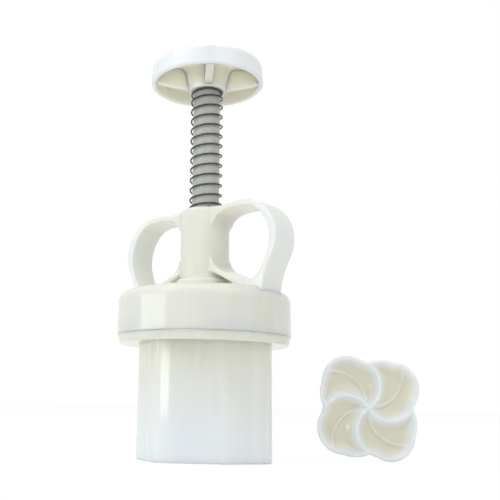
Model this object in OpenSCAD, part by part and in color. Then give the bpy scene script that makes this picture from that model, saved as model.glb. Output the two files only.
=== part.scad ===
// Hand mooncake press: a square-sided barrel with a pinwheel cavity, a round cover with
// two finger loops, a sprung plunger with a drum knob, and one pinwheel stamp plate that
// stands on its edge beside the press. Millimetres, +Z up. The origin is the centre of the
// barrel's mouth on the table, and the barrel's flat sides face along X and Y.

/* [Barrel] */
// Distance across two opposite flat sides of the barrel
barrel_w = 48.6; // [47.4:0.2:56]
// Height of the barrel's square part, from its mouth to its flange
barrel_h = 41.7; // [36:0.1:60]
// How far the flat part of a side runs past the side's middle
flat_end = 5.8; // [3:0.1:8]
// How far the leading edge of a side lies from the side's middle
edge_x = 17; // [15:0.1:18]
// How far the leading edge is drawn back from the flat side
edge_drop = 1.3; // [0.8:0.1:2.5]
// Radius that rounds the flat side down to its leading edge
edge_r = 12; // [8:0.5:20]
// How far each scallop between two creases bulges
scallop = 0.4; // [0.2:0.05:0.8]
// Radius of the round flange that shows under the cover
flange_r = 32; // [31:0.1:36]
// Thickness of the flange
flange_t = 3.5; // [2.5:0.1:5]

/* [Pinwheel] */
// Distance from the axis to the centre of a large petal arc
petal_at = 12.9; // [11:0.1:13.2]
// Radius of a large petal arc
petal_r = 9.8; // [9:0.1:10.5]
// Distance from the axis to the centre of a small petal arc
side_petal_at = 7.9; // [7:0.1:9]
// Radius of a small petal arc
side_petal_r = 13.1; // [12:0.1:13.8]
// Turn of the cavity's petals against the barrel's flat sides
petal_turn = 14; // [6:1:20]
// Running gap between the barrel's cavity and what slides in it
petal_gap = 0.35; // [0.3:0.05:0.6]

/* [Cover] */
// Radius of the cover's skirt
cover_r = 33; // [32.5:0.1:37]
// Height of the cover, from its skirt's edge to its flat top
cover_h = 16.1; // [14:0.1:22]
// Thickness of the skirt
skirt_t = 2.1; // [1.8:0.1:2.4]
// Thickness of the cover's top
top_t = 3; // [2:0.1:4.5]
// Radius that rounds the cover's top edge
cover_round = 4; // [2:0.1:4.5]
// Radius of the tube that guides the rod
hub_r = 9.5; // [8.5:0.1:11]
// Height of the guide tube above the cover's top
hub_h = 32.9; // [28:0.1:38]
// Radius of the collar around the foot of the guide tube
hub_foot_r = 11.3; // [11:0.1:13]
// Height of that collar
hub_foot_h = 3; // [2:0.1:5]

/* [Finger loops] */
// Direction of the right finger loop, from the +X axis
loop_turn = -45; // [-60:1:-30]
// Width of the flat band that the loops are made of
loop_w = 12; // [9:0.5:15]
// How far the loops stand out past the cover's edge
loop_out = 5.3; // [4:0.1:9]
// How far the loops' highest point lies below the guide tube's top
loop_drop = 0.1; // [0:0.1:4]

/* [Bayonet] */
// Number of lugs on the barrel's neck
lugs = 4; // [2:1:4]
// Arc that each lug and each ledge takes
lug_arc = 34; // [20:1:36]
// How far a lug stands out of the neck
lug_t = 2.2; // [1.6:0.1:3]
// Height of a lug
lug_h = 2; // [1.5:0.1:3]
// Height of the ledge inside the skirt that holds a lug
ledge_h = 2; // [1.5:0.1:3]
// Width of the stop at the end of each ledge
stop_w = 2; // [1.5:0.1:3]

/* [Plunger] */
// Radius of the rod
rod_r = 5.35; // [4.5:0.05:5.6]
// Thickness of the piston's plate
piston_t = 5; // [4.5:0.1:8]
// Height of the boss that stands on the piston's plate
boss_h = 5.7; // [4:0.1:9]
// Radius of that boss
boss_r = 9; // [7.5:0.1:11]
// Radius of the socket that holds the stamp's spigot
socket_r = 6.2; // [5.5:0.1:7.5]
// Depth of the socket
socket_d = 3; // [2.5:0.1:3.2]

/* [Knob] */
// Radius of the knob at its rim
knob_r = 22.8; // [20:0.1:26]
// How much narrower the knob is at its top than at its rim
knob_taper = 0.4; // [0:0.1:1.5]
// Height of the knob, from its rim to its top
knob_h = 8.9; // [7:0.1:14]
// Radius that rounds the knob's top edge
knob_round = 3; // [2:0.1:4]
// Thickness of the knob's side wall
knob_wall = 2.1; // [1.2:0.1:2.5]
// Thickness of the knob's top
knob_top_t = 2; // [1.6:0.1:3]
// How far the knob's boss reaches below its rim
boss_drop = 2.7; // [1:0.1:5]
// Radius of the knob's boss at its foot
knob_boss_r = 7.4; // [7:0.1:9]
// Thickness of each of the four webs under the knob
web_t = 3; // [2:0.1:4]

/* [Spring] */
// Length of the spring between the guide tube and the knob's boss
spring_l = 50; // [45:0.5:60]
// Radius of the spring at the middle of its wire
coil_r = 6.17; // [6.1:0.01:6.4]
// Diameter of the spring's wire
wire_d = 0.7; // [0.5:0.05:0.8]
// Number of turns of the spring
turns = 12.5; // [9:0.5:13]
// Distance between the wire's turns at the two closed ends
end_pitch = 2.6; // [1.6:0.1:3]

/* [Screws] */
// Radius of both screws' thread
screw_r = 1.5; // [1.2:0.1:1.8]
// Length of both screws under the head
screw_l = 12; // [8:0.5:16]
// Radius of both screws' head
head_r = 2.9; // [2.6:0.1:3.2]
// Height of both screws' head
head_h = 1.8; // [1.4:0.1:2]

/* [Stamp plate] */
// Distance to the right of the barrel's axis at which the stamp plate stands
stamp_x = 64.6; // [58:0.1:90]
// Distance behind the barrel's axis at which the stamp plate stands
stamp_y = 11; // [0:0.5:20]
// Thickness of the stamp plate at its rim
stamp_t = 6; // [5:0.1:8.5]
// How much the stamp plate's outline draws in towards its back
stamp_draft = 1; // [0:0.1:1.5]
// Depth of the dished petals below the rim
dish_d = 2.6; // [1.5:0.1:3]
// Width of the raised rim around the petals
stamp_rim = 1.7; // [1.2:0.1:2.5]
// Width of the four main ridges
ridge_w = 2; // [1.2:0.1:2.6]
// Radius of the curve that a main ridge follows
ridge_r = 10.1; // [9:0.1:11]
// Width of the four fine veins
vein_w = 0.7; // [0.5:0.1:1.2]
// Radius of the curve that a vein follows
vein_r = 13.2; // [12:0.1:14]

/* [Clearances] */
// Radial gap of the rod in the guide tube
run_gap = 0.08; // [0.03:0.01:0.1]
// Gap between pieces that turn or stop against each other
free_gap = 0.3; // [0.2:0.05:0.5]
// Gap around the screws' threads and the stamp's spigot
snug_gap = 0.05; // [0.02:0.01:0.1]

/* [Hidden] */
$fn = 96;
SIDES = 4;
PETAL_LEAD = 38;        // angle from a main notch to the middle of its large petal
SIDE_PETAL_LEAD = 44.3; // the same for its small petal
RIDGE_LEAD = 32;        // the same for the centre of a ridge's arc
VEIN_LEAD = -3;         // the same for the centre of a vein's arc
RIDGE_ARC = 122;        // how far a ridge runs along its curve from the middle
VEIN_FROM = 16;         // where a vein begins along its curve
VEIN_ARC = 86;
CAVITY_NOTCH = 270;     // main notch of the cavity before its turn
CREASE_AT = [0.58, 0.86]; // where the creases lie on the way from the flat to the next side
CREASE_OUT = [0.7, 0.5];  // how far they stand out of that line
ARC_STEPS = 6;
CUT = 1;                // how far a cutter runs past what it cuts
IVORY = [0.91, 0.91, 0.87];
STEEL = [0.42, 0.42, 0.42];
barrel_half = barrel_w / 2;
skirt_z = barrel_h + flange_t + free_gap;
cover_top = skirt_z + cover_h;
cover_ceiling = cover_top - top_t;
neck_top = cover_ceiling - free_gap;
skirt_in = cover_r - skirt_t;
lug_out = skirt_in - free_gap;
neck_r = lug_out - lug_t;
ledge_in = neck_r + free_gap;
ledge_z = skirt_z + CUT;
lug_z = ledge_z + ledge_h + free_gap;
hub_top = cover_top + hub_h;
knob_foot = hub_top + spring_l;
rim_z = knob_foot + boss_drop;
knob_top = rim_z + knob_h;
knob_ceiling = knob_top - knob_top_t;
piston_boss_top = cover_ceiling - free_gap;
piston_top = piston_boss_top - boss_h;
piston_z = piston_top - piston_t;
head_room = 0.2;                 // space over a screw's head in its recess
clamp_t = 2;                     // wall between a screw's head and the end of the rod
piston_seat = piston_z + socket_d + head_room + head_h; // where the piston's screw bears
rod_foot = piston_seat + clamp_t;
plug_t = 1;
plug_seat = 1.4;                 // ledge around the screw's recess that carries the plug
plug_r = head_r + plug_seat;
knob_seat = knob_top - plug_t - head_room - head_h;     // where the knob's screw bears
rod_top = knob_seat - clamp_t;
stamp_edge = petal_at * cos(PETAL_LEAD) + petal_r;      // the stamp's middle above the table
spigot_l = socket_d - head_room;
spigot_r = socket_r - snug_gap;
spigot_wall = 1.8;

function turned(p, a) = [p.x * cos(a) - p.y * sin(a), p.x * sin(a) + p.y * cos(a)];

// Points along the arc from a to b that bulges to the right of the way by the given height
function bulged(a, b, height) =
    let (
        way = (b - a) / norm(b - a),
        right = [way.y, -way.x],
        half = norm(b - a) / 2,
        r = (half * half + height * height) / (2 * height),
        sweep = asin(half / r),
        centre = (a + b) / 2 + right * (height - r)
    )
    [for (i = [0:ARC_STEPS - 1])
        let (t = -sweep + 2 * sweep * i / ARC_STEPS)
        centre + way * r * sin(t) + right * r * cos(t)];

// One side of the barrel: a rounded leading edge, a flat, and three scallops between creases
edge_run = sqrt(edge_r * edge_r - (edge_r - edge_drop) * (edge_r - edge_drop));
edge_sweep = asin(edge_run / edge_r);
edge_end = edge_run - edge_x;
leading = [-edge_x, edge_drop - barrel_half];
flat_stop = [flat_end, -barrel_half];
next_leading = turned(leading, 90);
chord = next_leading - flat_stop;
chord_right = [chord.y, -chord.x] / norm(chord);
crease_1 = flat_stop + chord * CREASE_AT[0] + chord_right * CREASE_OUT[0];
crease_2 = flat_stop + chord * CREASE_AT[1] + chord_right * CREASE_OUT[1];
side_points = concat(
    [for (i = [0:ARC_STEPS - 1])
        let (t = -edge_sweep * (1 - i / ARC_STEPS))
        [edge_end + edge_r * sin(t), edge_r * (1 - cos(t)) - barrel_half]],
    [[edge_end, -barrel_half]],
    bulged(flat_stop, crease_1, scallop),
    bulged(crease_1, crease_2, scallop),
    bulged(crease_2, next_leading, scallop / 2));
barrel_points = [for (s = [0:SIDES - 1]) for (p = side_points) turned(p, s * 90)];

// Points of a smooth open line through the given points, without the last one
function smooth_line(points, steps = 4) =
    let (n = len(points))
    [for (i = [0:n - 2]) for (j = [0:steps - 1])
        let (
            t = j / steps,
            p0 = points[max(i - 1, 0)],
            p1 = points[i],
            p2 = points[i + 1],
            p3 = points[min(i + 2, n - 1)]
        )
        (2 * p1 + (p2 - p0) * t + (2 * p0 - 5 * p1 + 4 * p2 - p3) * t * t
            + (3 * p1 - p0 - 3 * p2 + p3) * t * t * t) / 2];

// Solid pinwheel, grown outwards by a gap and drawn in at its foot by a draft. sense is 1 as
// seen on the stamp's face, -1 from behind
module pinwheel(h, grow = 0, sense = 1, draft = 0) {
    for (s = [0:SIDES - 1]) {
        rotate([0, 0, s * 90 + sense * PETAL_LEAD])
            translate([petal_at, 0, 0])
                cylinder(h = h, r1 = petal_r + grow - draft, r2 = petal_r + grow);
        rotate([0, 0, s * 90 + sense * SIDE_PETAL_LEAD])
            translate([side_petal_at, 0, 0])
                cylinder(h = h, r1 = side_petal_r + grow - draft, r2 = side_petal_r + grow);
    }
}

// Part of a ring of rectangular section, from one angle on through an arc
module ring_part(r_in, r_out, z, h, from, arc) {
    rotate([0, 0, from])
        rotate_extrude(angle = arc)
            translate([r_in, z])
                square([r_out - r_in, h]);
}

module barrel() {
    color(IVORY)
    difference() {
        union() {
            linear_extrude(barrel_h)
                polygon(barrel_points);
            translate([0, 0, barrel_h])
                cylinder(h = flange_t, r = flange_r);
            translate([0, 0, barrel_h])
                cylinder(h = neck_top - barrel_h, r = neck_r);
            for (i = [0:lugs - 1])
                ring_part(neck_r - CUT, lug_out, lug_z, lug_h, i * 360 / lugs, lug_arc);
        }
        translate([0, 0, -CUT])
            rotate([0, 0, CAVITY_NOTCH + petal_turn])
                pinwheel(neck_top + 2 * CUT, petal_gap, -1);
    }
}

// The cover's outer shape, without its hollow and its bore
module cover_blank() {
    rotate_extrude() {
        translate([0, skirt_z])
            square([cover_r, cover_h - cover_round]);
        translate([0, skirt_z])
            square([cover_r - cover_round, cover_h]);
        intersection() {
            translate([cover_r - cover_round, cover_top - cover_round])
                circle(cover_round);
            translate([0, skirt_z])
                square([cover_r, cover_h]);
        }
    }
    translate([0, 0, cover_top - CUT])
        cylinder(h = hub_foot_h + CUT, r = hub_foot_r);
    translate([0, 0, cover_top - CUT])
        cylinder(h = hub_h + CUT, r = hub_r);
}

stop_turn = free_gap / neck_r * 180 / PI;

module cover() {
    color(IVORY)
    difference() {
        union() {
            difference() {
                cover_blank();
                translate([0, 0, skirt_z - CUT])
                    cylinder(h = cover_ceiling - skirt_z + CUT, r = skirt_in);
            }
            for (i = [0:lugs - 1]) {
                ring_part(ledge_in, skirt_in + CUT, ledge_z, ledge_h, i * 360 / lugs, lug_arc);
                rotate([0, 0, i * 360 / lugs + lug_arc + stop_turn])
                    translate([ledge_in, 0, ledge_z])
                        cube([skirt_in - ledge_in + CUT, stop_w, lug_z + lug_h - ledge_z]);
            }
        }
        translate([0, 0, cover_ceiling - CUT])
            cylinder(h = hub_top - cover_ceiling + 2 * CUT, r = rod_r + run_gap);
    }
}

// The loop's band from the hub's top over the outside down to the cover, [distance, height]
LOOP_OUTER = [[8, 92.3], [13.5, 93.5], [18, 94.2], [22.5, 94.4], [27, 93.8], [31, 92.1],
    [34.4, 89.1], [37, 85.2], [38.3, 80.6], [37.8, 75.6], [35.6, 70.8], [33.5, 66.4],
    [32.5, 62.6], [32.1, 59]];
// The foot inside the cover's top, and the underside of the lower bar back to the hub
LOOP_FOOT = [[32.1, 59], [24.5, 59]];
LOOP_UNDER = [[23.2, 61.6], [20.5, 62.9], [16, 65], [12, 67.1], [8, 69]];
LOOP_HOLE = [[6.5, 89.5], [8, 90], [11.8, 91.2], [17.6, 92.1], [23, 92], [27.3, 91.2],
    [30.6, 89.2], [33, 86.4], [34.8, 82.6], [35.4, 78.6], [34.8, 74.4], [33.2, 70.4],
    [30.8, 66.8], [28.4, 64.8], [26, 64], [22, 65.2], [18, 66.9], [14, 68.6], [11, 70.2],
    [9, 72], [6.5, 75]];
// What the points above are drawn for: the loop's reach, its top and the cover's top
LOOP_DRAWN_REACH = 38.3;
LOOP_DRAWN_TOP = 94.4;
LOOP_DRAWN_FOOT = 61.6;
loop_wide = (cover_r + loop_out) / LOOP_DRAWN_REACH;
loop_high = (hub_h - loop_drop) / (LOOP_DRAWN_TOP - LOOP_DRAWN_FOOT);

function seated(points) =
    [for (p = points) [p.x * loop_wide, cover_top + (p.y - LOOP_DRAWN_FOOT) * loop_high]];

module finger_loop(turn) {
    difference() {
        rotate([90, 0, turn])
            translate([0, 0, -loop_w / 2])
                linear_extrude(loop_w)
                    difference() {
                        polygon(seated(concat(smooth_line(LOOP_OUTER), LOOP_FOOT, LOOP_UNDER)));
                        polygon(seated(smooth_line(LOOP_HOLE)));
                    }
        cover_blank();
    }
}

module finger_loop_left() {
    color(IVORY)
    finger_loop(loop_turn + 180);
}

module finger_loop_right() {
    color(IVORY)
    finger_loop(loop_turn);
}

module plunger_rod() {
    color(IVORY)
    difference() {
        translate([0, 0, rod_foot])
            cylinder(h = rod_top - rod_foot, r = rod_r);
        translate([0, 0, rod_foot - CUT])
            cylinder(h = screw_l + CUT, r = screw_r + snug_gap);
        translate([0, 0, rod_top - screw_l])
            cylinder(h = screw_l + CUT, r = screw_r + snug_gap);
    }
}

module piston() {
    color(IVORY)
    difference() {
        union() {
            translate([0, 0, piston_z])
                rotate([0, 0, CAVITY_NOTCH + petal_turn])
                    pinwheel(piston_t, 0, -1);
            translate([0, 0, piston_z])
                cylinder(h = piston_boss_top - piston_z, r = boss_r);
        }
        translate([0, 0, piston_z - CUT])
            cylinder(h = socket_d + CUT, r = socket_r);
        translate([0, 0, piston_z])
            cylinder(h = piston_seat - piston_z, r = head_r + free_gap);
        translate([0, 0, piston_z])
            cylinder(h = rod_foot - piston_z + CUT, r = screw_r + snug_gap);
        translate([0, 0, rod_foot])
            cylinder(h = piston_boss_top - rod_foot + CUT, r = rod_r + snug_gap);
    }
}

// Screw with its head's underside at z = 0 and its thread below it
module screw() {
    slot_w = head_r / 4;
    slot_l = head_r * 1.2;
    slot_d = head_h / 2;
    difference() {
        union() {
            translate([0, 0, -screw_l])
                cylinder(h = screw_l + CUT / 2, r = screw_r);
            cylinder(h = head_h, r = head_r);
        }
        for (a = [0, 90])
            rotate([0, 0, a])
                translate([-slot_l / 2, -slot_w / 2, head_h - slot_d])
                    cube([slot_l, slot_w, slot_d + CUT]);
    }
}

module piston_screw() {
    color(STEEL)
    translate([0, 0, piston_seat])
        rotate([180, 0, 0])
            screw();
}

module knob_screw() {
    color(STEEL)
    translate([0, 0, knob_seat])
        screw();
}

module knob_plug() {
    color(IVORY)
    translate([0, 0, knob_top - plug_t])
        cylinder(h = plug_t, r = plug_r - snug_gap);
}

module knob() {
    knob_in = knob_r - knob_wall;
    top_r = knob_r - knob_taper;
    lean = knob_taper / knob_h;
    boss_flare = 2;
    color(IVORY)
    difference() {
        union() {
            // drum with a rounded top edge
            difference() {
                rotate_extrude() {
                    polygon([[0, rim_z], [knob_r, rim_z], [top_r, knob_top - knob_round],
                        [top_r - knob_round, knob_top - knob_round], [0, knob_top - knob_round]]);
                    translate([0, rim_z + CUT])
                        square([top_r - knob_round, knob_h - CUT]);
                    intersection() {
                        translate([top_r - knob_round, knob_top - knob_round])
                            circle(knob_round);
                        translate([0, rim_z])
                            square([knob_r, knob_h]);
                    }
                }
                translate([0, 0, rim_z - CUT])
                    cylinder(h = knob_ceiling - rim_z + CUT, r1 = knob_in + CUT * lean,
                        r2 = knob_in - (knob_ceiling - rim_z) * lean);
            }
            translate([0, 0, knob_foot])
                cylinder(h = knob_ceiling - knob_foot, r1 = knob_boss_r,
                    r2 = knob_boss_r + boss_flare);
            // webs from the boss to the drum's wall, lower at the boss
            for (s = [0:SIDES - 1])
                rotate([90, 0, s * 90])
                    translate([0, 0, -web_t / 2])
                        linear_extrude(web_t)
                            polygon([[knob_boss_r - CUT, knob_foot + CUT],
                                [knob_boss_r, knob_foot + CUT], [knob_in, rim_z + CUT],
                                [knob_in, knob_ceiling], [knob_boss_r - CUT, knob_ceiling]]);
            translate([0, 0, knob_foot])
                cylinder(h = knob_top - CUT - knob_foot, r = knob_boss_r);
        }
        translate([0, 0, knob_foot - CUT])
            cylinder(h = rod_top - knob_foot + CUT, r = rod_r + snug_gap);
        translate([0, 0, rod_top - CUT])
            cylinder(h = knob_top - rod_top, r = screw_r + snug_gap);
        translate([0, 0, knob_seat])
            cylinder(h = knob_top - knob_seat, r = head_r + free_gap);
        translate([0, 0, knob_top - plug_t])
            cylinder(h = plug_t + CUT, r = plug_r);
    }
}

// Spring: one right-handed wire with a closer turn at each end and short upright ends
CURL_RINGS = 8;
WIRE_SIDES = 6;
SPRING_END = 270; // angle at which the wire ends under the knob
wire_z = hub_top + wire_d;
wire_h = spring_l - 2 * wire_d;
pitch = (wire_h - 2 * end_pitch) / (turns - 2);
wire_rings = turns * CURL_RINGS;

function wire_angle(u) = SPRING_END - 360 * (turns - u);
function wire_rise(u) = end_pitch * (min(u, 1) + max(u - turns + 1, 0))
    + pitch * (max(min(u, turns - 1), 1) - 1);
function wire_point(u) =
    [coil_r * cos(wire_angle(u)), coil_r * sin(wire_angle(u)), wire_z + wire_rise(u)];
function wire_way(u) =
    let (w = [-sin(wire_angle(u)), cos(wire_angle(u)), pitch / (2 * PI * coil_r)])
    w / norm(w);

wire_path = concat(
    [[coil_r * cos(wire_angle(0)), coil_r * sin(wire_angle(0)), hub_top]],
    [for (i = [0:wire_rings]) wire_point(i / CURL_RINGS)],
    [[coil_r * cos(SPRING_END), coil_r * sin(SPRING_END), knob_foot]]);
wire_ways = concat(
    [[0, 0, 1]],
    [for (i = [0:wire_rings])
        let (
            w = wire_way(i / CURL_RINGS),
            bend = i == 0 || i == wire_rings ? w + [0, 0, 1] : w
        )
        bend / norm(bend)],
    [[0, 0, 1]]);
wire_turns = concat([wire_angle(0)],
    [for (i = [0:wire_rings]) wire_angle(i / CURL_RINGS)], [SPRING_END]);

spring_points = [for (i = [0:len(wire_path) - 1]) for (k = [0:WIRE_SIDES - 1])
    let (
        a = wire_turns[i],
        out = [cos(a), sin(a), 0],
        side = cross(wire_ways[i], out),
        b = 360 * k / WIRE_SIDES
    )
    wire_path[i] + wire_d / 2 * (out * cos(b) + side * sin(b))];
spring_faces = concat(
    [for (k = [1:WIRE_SIDES - 2]) [0, k, k + 1]],
    [for (i = [0:len(wire_path) - 2]) for (k = [0:WIRE_SIDES - 1])
        let (a = i * WIRE_SIDES + k, b = i * WIRE_SIDES + (k + 1) % WIRE_SIDES)
        each [[a, a + WIRE_SIDES, b], [b, a + WIRE_SIDES, b + WIRE_SIDES]]],
    [for (k = [1:WIRE_SIDES - 2])
        let (e = (len(wire_path) - 1) * WIRE_SIDES)
        [e, e + k + 1, e + k]]);

// Least gap between wire that lies half a turn or more apart
self_gap = min([for (i = [1:wire_rings + 1]) for (j = [i + CURL_RINGS / 2:wire_rings + 1])
    if (j <= wire_rings + 1) norm(wire_path[i] - wire_path[j])]) - wire_d;
echo(least_gap_of_the_spring_to_itself = self_gap);  // spring

module spring() {
    color(STEEL)
    polyhedron(points = spring_points, faces = spring_faces, convexity = 10);
}

// Raised arc from the middle of the stamp towards its rim
module arc_wall(lead, r, w, from, arc) {
    rotate([0, 0, lead])
        translate([r, 0, 0])
            ring_part(r - w / 2, r + w / 2, stamp_t - dish_d - CUT, dish_d + 2 * CUT, 180 + from, arc);
}

module stamp_plate() {
    color(IVORY)
    translate([stamp_x, stamp_y + stamp_t / 2, stamp_edge])
        rotate([90, 0, 0])
            difference() {
                union() {
                    pinwheel(stamp_t, 0, 1, stamp_draft);
                    translate([0, 0, -spigot_l])
                        cylinder(h = spigot_l + CUT, r = spigot_r);
                }
                translate([0, 0, -spigot_l - CUT])
                    cylinder(h = spigot_l + CUT, r = spigot_r - spigot_wall);
                difference() {
                    translate([0, 0, stamp_t - dish_d])
                        pinwheel(dish_d + CUT, -stamp_rim);
                    for (s = [0:SIDES - 1]) {
                        arc_wall(s * 90 + RIDGE_LEAD, ridge_r, ridge_w, 0, RIDGE_ARC);
                        arc_wall(s * 90 + VEIN_LEAD, vein_r, vein_w, VEIN_FROM, VEIN_ARC);
                    }
                }
            }
}

barrel();
cover();
finger_loop_left();
finger_loop_right();
plunger_rod();
piston();
piston_screw();
knob();
knob_screw();
knob_plug();
spring();
stamp_plate();
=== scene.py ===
"""Hand mooncake press with finger loops, a sprung plunger and a pinwheel stamp plate."""

import math

import bmesh
import bpy
from bpy.props import FloatProperty, FloatVectorProperty, IntProperty, PointerProperty
from mathutils import Matrix, Vector


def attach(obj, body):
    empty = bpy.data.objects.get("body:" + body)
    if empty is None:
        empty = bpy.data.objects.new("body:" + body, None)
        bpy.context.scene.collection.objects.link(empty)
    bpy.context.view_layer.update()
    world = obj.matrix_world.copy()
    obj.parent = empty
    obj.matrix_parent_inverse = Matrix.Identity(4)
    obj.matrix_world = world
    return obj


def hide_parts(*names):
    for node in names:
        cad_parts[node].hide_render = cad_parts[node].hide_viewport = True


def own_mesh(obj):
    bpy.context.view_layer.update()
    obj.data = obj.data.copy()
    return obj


bl_info = {
    "name": "Mooncake press",
    "version": (1, 0, 0),
    "blender": (4, 5, 0),
    "location": "View3D > Sidebar > Press",
    "description": "Builds a hand mooncake press with its pinwheel stamp plate",
    "category": "Object",
}

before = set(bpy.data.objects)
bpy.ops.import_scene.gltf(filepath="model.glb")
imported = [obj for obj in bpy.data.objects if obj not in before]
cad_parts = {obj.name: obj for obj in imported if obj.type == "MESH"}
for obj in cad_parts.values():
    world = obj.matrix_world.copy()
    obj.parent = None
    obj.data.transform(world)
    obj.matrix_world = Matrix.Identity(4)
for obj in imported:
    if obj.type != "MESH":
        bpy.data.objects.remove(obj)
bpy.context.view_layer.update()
MM = 0.001
SIDES = 4


def linear(code):
    """Linear RGBA of an sRGB hex colour."""
    parts = [int(code[i : i + 2], 16) / 255 for i in (1, 3, 5)]
    return tuple(c / 12.92 if c <= 0.04045 else ((c + 0.055) / 1.055) ** 2.4 for c in parts) + (1.0,)


def length(name, description, default):
    """A length in metres from a default in millimetres."""
    return FloatProperty(
        name=name, description=description, default=default * MM, min=0.0, unit="LENGTH", precision=5
    )


def colour(name, description, code):
    """A colour from its sRGB hex code."""
    return FloatVectorProperty(
        name=name,
        description=description,
        default=linear(code),
        size=4,
        min=0.0,
        max=1.0,
        subtype="COLOR",
    )


class PressBarrelSizes(bpy.types.PropertyGroup):
    half: length("Half width", "From the axis to a flat side", 24.3)
    height: length("Height", "From the mouth to the flange", 41.7)
    flat_end: length("Flat's end", "How far the flat runs past the side's middle", 5.8)
    edge_x: length("Leading edge", "From the side's middle to its leading edge", 17.0)
    edge_drop: length("Edge drop", "How far the leading edge is drawn back", 1.3)
    edge_r: length("Edge radius", "Rounding from the flat down to the leading edge", 12.0)
    scallop: length("Scallop", "Bulge of the scallops between creases", 0.4)
    flange_r: length("Flange radius", "Round flange under the cover", 32.6)
    flange_foot_r: length("Flange foot", "Radius where the flange's slope ends below", 31.9)
    flange_slope: length("Flange slope", "Height of the slope under the flange's wall", 1.9)
    flange_t: length("Flange thickness", "Thickness of the flange", 3.5)
    neck_r: length("Neck radius", "Neck inside the cover", 28.4)
    neck_top: length("Neck top", "Height of the neck's top", 58.3)
    soft_edge: length("Mouth edge", "Rounding of the mouth's edges", 0.15)
    crease_edge: length("Crease edge", "Rounding of the upright creases", 0.12)
    lug_r: length("Lug radius", "Outer radius of the bayonet lugs on the neck", 30.6)
    lug_z: length("Lug height", "Height of the lugs' undersides", 48.8)
    lug_t: length("Lug thickness", "Thickness of the lugs", 2.0)


class PressPetalSizes(bpy.types.PropertyGroup):
    large_at: length("Large arc's place", "From the axis to a large petal arc's centre", 12.9)
    large_r: length("Large arc", "Radius of a large petal arc", 9.8)
    small_at: length("Small arc's place", "From the axis to a small petal arc's centre", 7.9)
    small_r: length("Small arc", "Radius of a small petal arc", 13.1)
    gap: length("Running gap", "Gap between the cavity and the piston", 0.35)


class PressCoverSizes(bpy.types.PropertyGroup):
    radius: length("Radius", "Radius of the skirt", 33.0)
    foot: length("Foot", "Height of the skirt's lower edge", 45.26)
    lip: length("Lip", "How far the skirt's lip hangs over the flange's edge", 0.25)
    lip_r: length("Lip radius", "Radius inside the lip", 32.64)
    top: length("Top", "Height of the cover's flat top", 61.6)
    skirt_t: length("Skirt", "Thickness of the skirt", 2.1)
    top_t: length("Top thickness", "Thickness of the cover's top", 3.0)
    round: length("Top edge", "Rounding of the top edge", 4.0)
    hub_r: length("Guide tube", "Radius of the tube that guides the rod", 9.5)
    hub_top: length("Guide tube's top", "Height of the spring's seat", 94.5)
    hub_round: length("Guide tube's edge", "Rounding of the tube's top edge", 1.0)
    collar_r: length("Foot collar", "Radius of the collar around the tube's foot", 11.1)
    collar_h: length("Foot collar's height", "Height of that collar", 5.0)
    ledge_r: length("Ledge radius", "Inner radius of the ledges under the lugs", 28.7)
    ledge_t: length("Ledge thickness", "Thickness of the ledges", 2.0)
    stop_h: length("Stop height", "Height of the stops at the ledges' ends", 4.3)
    loop_w: length("Loop width", "Width of the finger loops' band", 12.0)
    bore: length("Bore", "Radius of the hole for the rod", 5.43)
    bore_play: length("Bore's play", "How much wider the hole is in the tube", 0.2)
    sunk: length("Sunk", "How far the tube and loops reach into the cover's top", 1.2)
    blend: length("Blend", "Grain of the mesh in which the loops grow out of the tube", 0.36)


class PressPlungerSizes(bpy.types.PropertyGroup):
    rod_r: length("Rod", "Radius of the rod", 5.35)
    rod_foot: length("Rod's foot", "Height of the rod's lower end", 54.6)
    rod_top: length("Rod's top", "Height of the rod's upper end", 151.1)
    piston_z: length("Piston", "Height of the piston's underside", 47.6)
    piston_t: length("Piston plate", "Thickness of the piston's plate", 5.0)
    boss_r: length("Piston boss", "Radius of the boss on the piston", 9.0)
    boss_top: length("Piston boss top", "Height of that boss's top", 58.3)
    socket_r: length("Socket", "Radius of the stamp's socket", 6.2)
    socket_d: length("Socket depth", "Depth of the stamp's socket", 3.0)
    recess_r: length("Screw recess", "Radius of the recess for a screw's head", 3.2)
    screw_r: length("Screw hole", "Radius of the hole for a screw", 1.55)
    fit: length("Fit", "Play around the rod in the piston and the knob", 0.05)
    seat: length("Screw seat", "Height at which the piston's screw bears", 52.6)
    soft_edge: length("Piston's edges", "Rounding of the piston's edges", 0.35)
    travel: length("Travel", "Travel of the plunger", 39.0)


class PressKnobSizes(bpy.types.PropertyGroup):
    rim_r: length("Rim radius", "Radius at the rim", 22.8)
    top_r: length("Top radius", "Radius under the top's rounding", 22.4)
    foot: length("Boss foot", "Height of the boss's foot", 144.5)
    rim: length("Rim", "Height of the rim", 147.2)
    top: length("Top", "Height of the top", 156.1)
    round: length("Top edge", "Rounding of the top edge", 3.0)
    wall: length("Wall", "Thickness of the side wall", 2.1)
    ceiling: length("Ceiling", "Height of the drum's inner face", 154.1)
    boss_r: length("Boss", "Radius of the boss at its foot", 7.4)
    web_t: length("Web", "Thickness of the four webs", 3.0)
    fillet: length("Fillet", "Rounding where the boss and the wall meet the ceiling", 2.4)
    flare: length("Flare", "How much wider the boss is at the ceiling", 2.0)
    plug_r: length("Plug", "Radius of the plug in the top", 4.3)
    plug_t: length("Plug thickness", "Thickness of the plug", 1.0)
    recess_d: length("Recess depth", "Depth of the screw's recess under the top", 3.0)


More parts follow.
